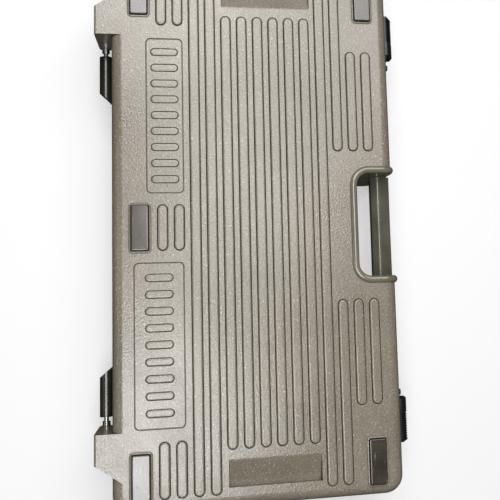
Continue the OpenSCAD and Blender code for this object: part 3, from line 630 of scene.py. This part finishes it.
def foot_pocket(cx, cy):
    """What is taken out for a foot, with a softened rim."""
    loops = []
    steps = [(1.0, -1.0), (1.0, BASE_FACE - 1.19), (0.6, BASE_FACE - 1.0), (0.4, BASE_FACE - 0.6)]
    for grow, z in steps + [(0.4, BASE_FACE + FOOT_SINK)]:
        loops.append(rounded_loop(cx, cy, FOOT_L / 2, FOOT_W / 2, 2.0, grow, z))
    return stack(loops)


def recess_loop(y, side):
    """Outline of a hand recess in the XZ plane; its floor ramps up towards the end of the case."""
    z = BASE_FACE
    outline = [
        (RECESS_X0, z - 2.0), (RECESS_X0, z), (RECESS_X0 + 3, z + 0.35),
        (RECESS_X1 - 3.5, z + RECESS_DEPTH - 0.9), (RECESS_X1 - 1.2, z + RECESS_DEPTH - 0.3),
        (RECESS_X1, z + RECESS_DEPTH - 1.2), (RECESS_X1, z - 2.0),
    ]
    return [(side * x, y, z) for x, z in outline]


def recess_cutter(side):
    """What is taken out for the hand recess at one end."""
    return stack([recess_loop(y, side) for y in (RECESS_Y0, RECESS_Y1)])


def recess_pad(side):
    """The thickened floor inside the shell over a hand recess."""
    cx = side * (RECESS_X0 + RECESS_X1) / 2
    cy = (RECESS_Y0 + RECESS_Y1) / 2
    half_x = (RECESS_X1 - RECESS_X0) / 2 + WALL
    half_y = (RECESS_Y1 - RECESS_Y0) / 2 + WALL
    top = BASE_FACE + RECESS_DEPTH + WALL
    loops = []
    for grow, z in [(0, BASE_FACE + WALL / 2), (0, top - 1.5), (-0.5, top - 0.4), (-1.5, top)]:
        loops.append(rounded_loop(cx, cy, half_x, half_y, 3.0, grow, z, 4))
    return stack(loops)


def block_cap(x_of):
    """Section of a stand block in the YZ plane, as a loop whose x follows from y."""
    z0, z1 = BASE_FACE, SPLIT_Z - 1
    y_in = HALF_D - EDGE_R
    edge = 2.5
    points = [(y_in, z0), (REAR_Y - edge, z0)]
    for i in range(1, 5):
        a = math.pi / 2 * i / 5
        points.append((REAR_Y - edge + edge * math.sin(a), z0 + edge - edge * math.cos(a)))
    points += [(REAR_Y, z0 + edge), (REAR_Y, z1 - 1), (REAR_Y - 1, z1), (HALF_D - 1.5, z1)]
    points += [(HALF_D - 1.5, z0 + EDGE_R), (HALF_D - 6, z0 + 5.5), (y_in, z0 + 1.5)]
    return [(x_of(y), y, z) for y, z in points]


def block_x(y):
    """Where the slanted outer side of a stand block lies."""
    return BLOCK_FACE_X1 + BLOCK_SLOPE * (REAR_Y - y)


def stand_block(side):
    """A block with a rounded rear corner on its slanted side."""
    verts, faces = stack([block_cap(lambda y: BLOCK_X0), block_cap(block_x)])
    return [(side * x, y, z) for x, y, z in verts], faces


def ring_x(x, radius, steps=40):
    """A circle across X about the hinge axis."""
    out = []
    for i in range(steps):
        a = 2 * math.pi * i / steps
        out.append((x, HINGE_Y + radius * math.cos(a), SPLIT_Z + radius * math.sin(a)))
    return out


def turned(profile, side=1, steps=40):
    """A solid of revolution about the hinge axis from (x, radius) pairs."""
    verts, faces = stack([ring_x(x, r, steps) for x, r in profile])
    return [(side * x, y, z) for x, y, z in verts], faces


def opening_loop(grow, z):
    """Outline of the hand opening, open towards the front beyond the wall."""
    w, r = GRIP_HALF + grow, OPENING_R + grow
    top = OPENING_Y + grow
    front = -HALF_D - 30
    points = [(w, front, z), (w, top - r, z)]
    for i in range(1, 13):
        a = math.pi / 2 * i / 12
        points.append((w - r + r * math.cos(a), top - r + r * math.sin(a), z))
    left = [(-x, y, z) for x, y, z in points[::-1]]
    return points + left


def opening_cutter():
    """What is taken out of one half of the case for the hand opening and its liner."""
    grow = LINER_T + 0.1
    return stack([opening_loop(grow, -5.0), opening_loop(grow, SPLIT_Z + 8)])


def cutter(name, parts, turned_over=False):
    """One helper object without a material from several solids, turned over for the lid."""
    verts, faces = merge(parts)
    return make_object(name, turn_over(verts) if turned_over else verts, faces, None)


def build_base_shell():
    """The lower shell with its ribs, foot pockets, panels, recesses, stand blocks and hinge ears."""
    verts, faces = shell_body(BASE_FACE, True)
    shell = make_object("base_case", verts, faces, case)
    spans = [(a, b, rib_y(row)) for row in range(RIB_ROWS) for a, b in base_spans(row)]
    boolean(shell, cutter("grooves", [groove_ring(*span, BASE_FACE) for span in spans]), "DIFFERENCE")
    raised = [pill_rib(*span, BASE_FACE) for span in spans]
    raised += [foot_lip(x, y) for x, y in FEET.values()]
    boolean(shell, cutter("raised", raised), "UNION")
    boolean(shell, cutter("blocks", [stand_block(-1), stand_block(1)]), "UNION")
    ear = [(BLOCK_X0, KNUCKLE_R - 0.8), (BLOCK_X0 + 0.3, KNUCKLE_R - 0.2), (BLOCK_X0 + 1, KNUCKLE_R)]
    ear += [(BLOCK_X0 + EAR_L - 1, KNUCKLE_R), (BLOCK_X0 + EAR_L, KNUCKLE_R - 1)]
    boolean(shell, cutter("ears", [turned(ear, -1), turned(ear, 1)]), "UNION")
    boolean(shell, cutter("pads", [recess_pad(-1), recess_pad(1)]), "UNION")
    cuts = [foot_pocket(x, y) for x, y in FEET.values()]
    cuts += [panel_cutter(*panel, BASE_FACE) for panel in PLAQUES]
    cuts += [recess_cutter(-1), recess_cutter(1)]
    boolean(shell, cutter("cuts", cuts), "DIFFERENCE")
    half = PLAQUE_BAR_L / 2
    at = [(cx + i * PLAQUE_BAR_PITCH, cy) for cx, cy, _, _ in PLAQUES for i in range(-4, 5)]
    floor = BASE_FACE + PLAQUE_DEPTH
    ends = [(y - half, y + half, x, floor) for x, y in at]
    rings = [groove_ring(*end, PLAQUE_BAR_W, True) for end in ends]
    boolean(shell, cutter("rings", rings), "DIFFERENCE")
    bars = [pill_rib(*end, PLAQUE_DEPTH + 0.15, PLAQUE_BAR_W, True) for end in ends]
    boolean(shell, cutter("bars", bars), "UNION")
    bore = [(BLOCK_X0 - 2, PIN_BORE_R), (BLOCK_X0 + EAR_L - 3, PIN_BORE_R)]
    openings = [opening_cutter(), turned(bore, -1), turned(bore, 1)]
    boolean(shell, cutter("openings", openings), "DIFFERENCE")
    return finish_mesh(shell)


def build_lid_shell():
    """The upper shell: ribs, a blank panel and the upper half of the hand opening."""
    verts, faces = shell_body(LID_FACE, False)
    shell = make_object("lid_case", turn_over(verts), faces, case)
    spans = [(a, b, rib_y(row)) for row in range(RIB_ROWS) for a, b in lid_spans(row)]
    rings = [groove_ring(*span, LID_FACE) for span in spans]
    boolean(shell, cutter("grooves", rings, True), "DIFFERENCE")
    boolean(shell, cutter("raised", [pill_rib(*span, LID_FACE) for span in spans], True), "UNION")
    first, last = LID_PLAQUE_ROWS
    panel_w = (last - first) * RIB_PITCH + RIB_W
    panel = panel_cutter(0, rib_y((first + last) / 2), LID_PLAQUE_L, panel_w, LID_FACE, 6.0)
    boolean(shell, cutter("cuts", [panel, opening_cutter()], True), "DIFFERENCE")
    return finish_mesh(shell)


place(build_base_shell(), "base", "base_shell")
place(build_lid_shell(), "lid", "lid_shell")

# ---------------------------------------------------------------- handle


def rim_stations():
    """Places along the inner edge of the rim: point, direction away from the opening, outward normal."""
    top = SPLIT_Z - SPLIT_GAP - 0.2
    half = []
    for z in (top, 40.0, 28.0, EDGE_R):
        half.append(((GRIP_HALF, -HALF_D, z), (1, 0, 0), (0, -1, 0)))
    for i in range(1, 9):
        a = math.pi / 2 * i / 8
        y = -HALF_D + EDGE_R * (1 - math.cos(a))
        z = EDGE_R * (1 - math.sin(a))
        half.append(((GRIP_HALF, y, z), (1, 0, 0), (0, -math.cos(a), -math.sin(a))))
    half.append(((GRIP_HALF, OPENING_Y - OPENING_R - 6, 0.0), (1, 0, 0), (0, 0, -1)))
    for i in range(13):
        a = math.pi / 2 * i / 12
        x = GRIP_HALF - OPENING_R + OPENING_R * math.cos(a)
        y = OPENING_Y - OPENING_R + OPENING_R * math.sin(a)
        half.append(((x, y, 0.0), (math.cos(a), math.sin(a), 0), (0, 0, -1)))
    half.append(((20.0, OPENING_Y, 0.0), (0, 1, 0), (0, 0, -1)))
    other = [((-p[0], p[1], p[2]), (-s[0], s[1], s[2]), n) for p, s, n in half[::-1]]
    return half + other


def rim_tube(face):
    """The half-round bead that runs round the hand opening and up the front wall."""
    loops = []
    for p, s, n in rim_stations():
        lift = Vector((0, 0, face if p[2] <= EDGE_R else 0))
        p, s, n = Vector(p) + lift, Vector(s), Vector(n)
        height = RIM_H - max(RIM_H - face, 0) * max(-n.z, 0)
        section = [(1 - math.cos(math.pi * i / 10), math.sin(math.pi * i / 10)) for i in range(11)]
        loop = [p + s * (RIM_W / 2 * u) + n * (height * v) for u, v in section]
        loop += [p + s * (RIM_W * u) - n * 0.3 for u in (0.85, 0.15)]
        loops.append([tuple(q) for q in loop])
    return stack(loops)


def liner(face):
    """The wall that lines the hand opening."""
    top = SPLIT_Z - SPLIT_GAP
    loops = []
    for p, s, n in rim_stations()[3:-3]:
        p, s = Vector(p), Vector(s)
        low = p.z + face
        outer = p + s * LINER_T
        loops.append([
            (p.x, p.y, low), (p.x, p.y, top - 0.5), (p.x + s.x * 0.5, p.y + s.y * 0.5, top),
            (outer.x, outer.y, top), (outer.x, outer.y, low),
        ])
    return stack(loops)


def build_well(name, face, lid):
    """Rim and liner of the hand opening, for the base or turned over for the lid."""
    verts, faces = merge([rim_tube(face), liner(face)])
    if lid:
        verts = turn_over(verts)
    piece = make_object(name, verts, faces, rim)
    return finish_mesh(piece, 40)


def build_grip():
    """The grip bar: two long facets that meet at a rounded ridge, drawn in a little at its middle."""
    centre_y = (grip_low.y + grip_high.y) / 2
    centre_z = (grip_low.z + grip_high.z) / 2
    a = (grip_high.z - grip_low.z) / 2
    corners = [
        (-1.0, -0.35, 0.22), (0.22, -1.0, 0.5), (0.5, -1.0, 0.3), (1.0, -0.4, 0.25), (1.0, 0.5, 0.3),
        (0.5, 1.0, 0.3), (-0.5, 1.0, 0.3), (-1.0, 0.5, 0.3),
    ]
    section = round_corners([(y * a, z * a, r * a) for y, z, r in corners])
    loops = []
    half = grip_high.x
    for x, scale in ((-half, 1.0), (-half + 4, 1.0), (0, 0.985), (half - 4, 1.0), (half, 1.0)):
        loops.append([(x, centre_y + y * scale, centre_z + z * scale) for y, z in section])
    verts, faces = stack(loops)
    return finish_mesh(make_object("grip_bar", verts, faces, grip_mat), 50)


def round_corners(corners, steps=6):
    """A polygon of (u, v, radius) with each corner turned into an arc."""
    out = []
    n = len(corners)
    for i, (u, v, r) in enumerate(corners):
        p = Vector((u, v))
        before = (Vector(corners[i - 1][:2]) - p).normalized()
        after = (Vector(corners[(i + 1) % n][:2]) - p).normalized()
        half = before.angle(after) / 2
        middle = (before + after).normalized()
        centre = p + middle * (r / math.sin(half))
        start = p + before * (r / math.tan(half)) - centre
        end = p + after * (r / math.tan(half)) - centre
        turn = start.angle_signed(end)
        for k in range(steps + 1):
            c, s = math.cos(-turn * k / steps), math.sin(-turn * k / steps)
            q = centre + Vector((start.x * c - start.y * s, start.x * s + start.y * c))
            out.append((q.x, q.y))
    return out


place(build_well("handle_surround", BASE_FACE, False), "base", "handle_well")
place(build_well("lid_handle_surround", LID_FACE, True), "lid", "lid_handle_well")
place(build_grip(), "base", "handle_grip")

# ---------------------------------------------------------------- feet


def build_foot(name, cx, cy):
    """A rubber pad with softened edges and a shallow dish in its face."""
    top = foot_high.z
    profile = [(0.0, top - 0.02), (0.0, BASE_FACE + 0.4), (-0.4, BASE_FACE - 0.2)]
    profile += [(-0.45, 0.9), (-0.6, 0.35), (-0.95, 0.08), (-1.5, 0.0), (-2.8, 0.0), (-3.4, 0.2)]
    loops = [rounded_loop(cx, cy, FOOT_L / 2, FOOT_W / 2, 2.2, grow, z, 6) for grow, z in profile]
    verts, faces = stack(loops)
    piece = finish_mesh(make_object(name + "_pad", verts, faces, rubber), 40)
    return place(piece, "base", name)


for foot_name, (foot_cx, foot_cy) in FEET.items():
    build_foot(foot_name, foot_cx, foot_cy)

# ---------------------------------------------------------------- foam


def copy_node(node, name):
    """A new piece with the shape of a CAD node."""
    piece = bpy.data.objects.new(name, nodes[node].data.copy())
    bpy.context.scene.collection.objects.link(piece)
    piece.data.materials.clear()
    return piece


def surface_noise(name, size, depth):
    """A cloud texture with features of a size in mm."""
    texture = bpy.data.textures.new(name, "CLOUDS")
    texture.noise_scale = size * MM
    texture.noise_depth = depth
    return texture


def soften(piece, voxel, rounds, swell):
    """Rounds the cut edges of a foam block and lets its faces swell and sag a little."""
    remesh = piece.modifiers.new("remesh", "REMESH")
    remesh.mode = "VOXEL"
    remesh.voxel_size = voxel * MM
    remesh.use_smooth_shade = True
    smooth = piece.modifiers.new("smooth", "SMOOTH")
    smooth.factor = 0.5
    smooth.iterations = rounds
    waves = piece.modifiers.new("waves", "DISPLACE")
    waves.texture = surface_noise(piece.name + "_waves", 28, 2)
    waves.texture_coords = "GLOBAL"
    waves.mid_level = 0.75
    waves.strength = swell * MM
    return apply_modifiers(piece)


def build_foam(node, name, voxel, swell, ratio):
    """A foam block with the layout of its CAD node and a softer, slightly uneven surface."""
    piece = soften(copy_node(node, name), voxel, 4, swell)
    fewer = piece.modifiers.new("fewer", "DECIMATE")
    fewer.ratio = ratio
    apply_modifiers(piece)
    piece.data.materials.append(foam)
    return place(piece, "base", node)


LID_FOAM_PITCH = 26.0
LID_FOAM_BUMP = 9.0


def build_lid_foam():
    """The lid's foam sheet: flat against the lid, with rows of round humps facing the pedals."""
    low, high = box_mm("lid_foam")
    step = LID_FOAM_PITCH / 8
    nx = round((high.x - low.x) / step)
    ny = round((high.y - low.y) / step)
    xs = np.linspace(low.x, high.x, nx + 1)
    ys = np.linspace(low.y, high.y, ny + 1)
    well_x, well_y = GRIP_HALF + RIM_W + 2, OPENING_Y + RIM_W + 2
    corner = CORNER_R

    def kept(x, y):
        """Whether a cell of the sheet lies inside its outline."""
        if abs(x) < well_x and y < well_y:
            return False
        dx = max(abs(x) - (high.x - corner), 0)
        dy = max(abs(y) - (high.y - corner), 0)
        return math.hypot(dx, dy) < corner

    def edge_distance(x, y):
        """How far a point lies from the nearest edge of the sheet."""
        dx = max(abs(x) - (high.x - corner), 0)
        dy = max(abs(y) - (high.y - corner), 0)
        outer = min(high.x - abs(x), high.y - abs(y))
        if dx and dy:
            outer = corner - math.hypot(dx, dy)
        well = math.hypot(max(abs(x) - well_x, 0), max(y - well_y, 0))
        return min(outer, well) if (abs(x) < well_x + 12 and y < well_y + 12) else outer

    waves = 2 * math.pi / LID_FOAM_PITCH
    verts, index = [], {}
    for j, y in enumerate(ys):
        for i, x in enumerate(xs):
            humps = math.cos(waves * x) * math.cos(waves * y)
            edge = min(max(edge_distance(x, y), 0) / 5.0, 1.0)
            drop = LID_FOAM_BUMP * (0.5 + 0.5 * humps) * edge + 2.5 * (1 - edge) ** 2
            index[i, j] = len(verts)
            verts.append((x, y, low.z + drop * 0.98))
    count = len(verts)
    verts += [(x, y, high.z) for x, y, _ in verts]
    faces = []
    cells = {
        (i, j) for j in range(ny) for i in range(nx)
        if kept((xs[i] + xs[i + 1]) / 2, (ys[j] + ys[j + 1]) / 2)
    }
    for i, j in sorted(cells):
        quad = (index[i, j], index[i + 1, j], index[i + 1, j + 1], index[i, j + 1])
        faces.append(quad[::-1])
        faces.append(tuple(v + count for v in quad))
        sides = (((i, j - 1), quad[0], quad[1]), ((i + 1, j), quad[1], quad[2]))
        sides += (((i, j + 1), quad[2], quad[3]), ((i - 1, j), quad[3], quad[0]))
        for neighbour, a, b in sides:
            if neighbour not in cells:
                faces.append((a, b, b + count, a + count))
    piece = make_object("lid_foam_sheet", verts, faces, foam)
    drop_loose(piece.data)
    shade(piece.data, 50)
    return place(piece, "lid", "lid_foam")


def drop_loose(mesh):
    """Removes the points that no face uses."""
    bm = bmesh.new()
    bm.from_mesh(mesh)
    loose = [v for v in bm.verts if not v.link_faces]
    bmesh.ops.delete(bm, geom=loose, context="VERTS")
    bm.to_mesh(mesh)
    bm.free()


build_foam("pedal_foam", "pedal_foam_block", 1.6, 0.5, 0.35)
build_foam("rear_foam", "rear_foam_block", 2.2, 0.6, 0.35)
build_foam("floor_pad", "floor_pad_sheet", 2.2, 0.4, 0.3)
build_lid_foam()

# ---------------------------------------------------------------- carried-over CAD nodes

BEVELS = {
    "left_latch_slider": 0.35,
    "right_latch_slider": 0.35,
    "left_latch_guide": 0.3,
    "right_latch_guide": 0.3,
    "left_hinge_knuckle": 0.6,
    "right_hinge_knuckle": 0.6,
    "junction_box": 0.5,
    "junction_box_cover": 0.5,
}


def dress(name, slot):
    """Gives a CAD node its material, and softens its edges where that shows."""
    piece = nodes[name]
    piece.data.materials.clear()
    piece.data.materials.append(SLOT_MATERIALS[slot])
    if name in BEVELS:
        weld = piece.modifiers.new("weld", "WELD")
        weld.merge_threshold = 0.00001
        decimate = piece.modifiers.new("planar", "DECIMATE")
        decimate.decimate_type = "DISSOLVE"
        decimate.angle_limit = math.radians(1)
        bevel(piece, BEVELS[name], 3)
        weighted(piece)


for part in frame["record"]["subparts"]:
    if not nodes[part["node"]].hide_render:
        dress(part["node"], part["material_slot"])

# ---------------------------------------------------------------- stage, light and camera


def sided_material(name, color, seen_from_above, glow):
    """A matt surface that can be seen from one side only; glow keeps its shadows pale."""
    material = bpy.data.materials.new(name)
    material.use_nodes = True
    tree = material.node_tree
    tree.nodes.clear()
    out = tree.nodes.new("ShaderNodeOutputMaterial")
    mix = tree.nodes.new("ShaderNodeMixShader")
    diffuse = tree.nodes.new("ShaderNodeBsdfDiffuse")
    emission = tree.nodes.new("ShaderNodeEmission")
    matt = tree.nodes.new("ShaderNodeAddShader")
    clear = tree.nodes.new("ShaderNodeBsdfTransparent")
    side = tree.nodes.new("ShaderNodeNewGeometry")
    diffuse.inputs["Color"].default_value = color
    emission.inputs["Strength"].default_value = glow
    tree.links.new(diffuse.outputs[0], matt.inputs[0])
    tree.links.new(emission.outputs[0], matt.inputs[1])
    first, second = (matt, clear) if seen_from_above else (clear, matt)
    tree.links.new(side.outputs["Backfacing"], mix.inputs[0])
    tree.links.new(first.outputs[0], mix.inputs[1])
    tree.links.new(second.outputs[0], mix.inputs[2])
    tree.links.new(mix.outputs[0], out.inputs["Surface"])
    return material


def stage_plane(name, z, material):
    """A large plane that only the camera sees."""
    size = 6.0
    mesh = bpy.data.meshes.new(name)
    corners = [(-size, -size, z), (size, -size, z), (size, size, z), (-size, size, z)]
    mesh.from_pydata(corners, [], [(0, 1, 2, 3)])
    mesh.materials.append(material)
    plane = bpy.data.objects.new(name, mesh)
    bpy.context.scene.collection.objects.link(plane)
    plane.visible_diffuse = False
    plane.visible_glossy = False
    plane.visible_shadow = False
    plane.visible_transmission = False
    return plane


def area_light(name, place_at, aim_at, size, watts):
    """A round soft light that burns only while the camera is on its side of the floor."""
    data = bpy.data.lights.new(name, "AREA")
    data.shape = "DISK"
    data.size = size
    data.energy = watts
    side = ">" if place_at[2] > 0 else "<"
    drive_by_height(data, "energy", f"{watts:.2f} if z {side} 0 else 0")
    light = bpy.data.objects.new(name, data)
    light.location = place_at
    light.rotation_mode = "QUATERNION"
    light.rotation_quaternion = (Vector(aim_at) - Vector(place_at)).to_track_quat("-Z", "Y")
    light.visible_camera = False
    bpy.context.scene.collection.objects.link(light)
    return light


# Strength of the plain surroundings as a light, and as the camera sees them
WORLD = 0.03
WORLD_SEEN = 0.52

# Name, place in metres, width in metres, watts
LIGHTS = [
    ("below_start", (-0.75, 0.20, -1.25), 0.6, 6.3),
    ("below_middle", (-0.15, -0.05, -1.25), 0.45, 3.8),
    ("below_end", (0.41, 0.17, -1.25), 0.6, 8.4),
    ("below_corner", (-0.75, -0.40, -1.25), 1.0, 10.2),
    ("below_hinges", (0.10, 1.20, -0.80), 0.7, 0.8),
    ("above_top", (-0.3, 0.2, 2.2), 1.2, 48),
    ("above_key", (-1.1, -2.0, 1.3), 1.0, 54),
    ("above_fill", (1.7, 1.6, 1.1), 1.2, 42),
]


def drive_by_height(owner, setting, expression):
    """Lets a setting follow the camera's height z."""
    driver = owner.driver_add(setting).driver
    driver.type = "SCRIPTED"
    height = driver.variables.new()
    height.name = "z"
    height.targets[0].id = camera
    height.targets[0].data_path = "location.z"
    driver.expression = expression


def build_stage():
    """Floor, backdrop, world and lights."""
    stage_plane("floor", 0.0, sided_material("floor", (0.27, 0.27, 0.268, 1), True, 0.5))
    backdrop = sided_material("backdrop", (0.5, 0.5, 0.5, 1), False, 0.45)
    stage_plane("backdrop", CASE_H * MM + 0.0005, backdrop)
    world = bpy.data.worlds.new("studio")
    world.use_nodes = True
    tree = world.node_tree
    background = tree.nodes["Background"]
    background.inputs["Color"].default_value = (1, 1, 1, 1)
    rays = tree.nodes.new("ShaderNodeLightPath")
    strength = tree.nodes.new("ShaderNodeMapRange")
    strength.inputs["To Min"].default_value = WORLD
    strength.inputs["To Max"].default_value = WORLD_SEEN
    tree.links.new(rays.outputs["Is Camera Ray"], strength.inputs["Value"])
    tree.links.new(strength.outputs[0], background.inputs["Strength"])
    bpy.context.scene.world = world
    centre = (0, 0, SPLIT_Z * MM)
    for name, place_at, size, watts in LIGHTS:
        area_light(name, place_at, centre, size, watts)


# Place in metres, lens in mm, lens shift, and turn about the axes in degrees
CAMERA_AT = (0.06732, 0.07224, -0.81973)
CAMERA_LENS = 54.65
CAMERA_SHIFT = (-0.1586, -0.0880)
CAMERA_TURN = (-6.161, -10.366, -1.301)


def build_camera():
    """A camera under the case, whose lens is shifted only while it stands at this height."""
    data = camera.data
    right, down, forward = camera_axes()
    turn = Matrix((right, -down, -forward)).transposed()
    camera.location = CAMERA_AT
    camera.rotation_mode = "QUATERNION"
    camera.rotation_quaternion = turn.to_quaternion()
    data.sensor_width = 36.0
    data.lens = CAMERA_LENS
    data.clip_end = 20
    for axis, shift in (("shift_x", CAMERA_SHIFT[0]), ("shift_y", CAMERA_SHIFT[1])):
        drive_by_height(data, axis, f"{shift:.4f} if abs(z - ({CAMERA_AT[2]:.4f})) < 0.0005 else 0")
    bpy.context.scene.camera = camera


def camera_axes():
    """Right, down and forward of the camera: straight up at the underside, then turned a little."""
    axis = Vector([math.radians(a) for a in CAMERA_TURN])
    turn = Matrix.Rotation(axis.length, 3, axis.normalized())
    start = Matrix(((0, -1, 0), (1, 0, 0), (0, 0, 1)))
    rows = turn @ start
    return rows[0], rows[1], rows[2]


camera = bpy.data.objects.new("camera", bpy.data.cameras.new("camera"))
bpy.context.scene.collection.objects.link(camera)
build_camera()
build_stage()
bpy.context.scene.view_settings.view_transform = "Standard"
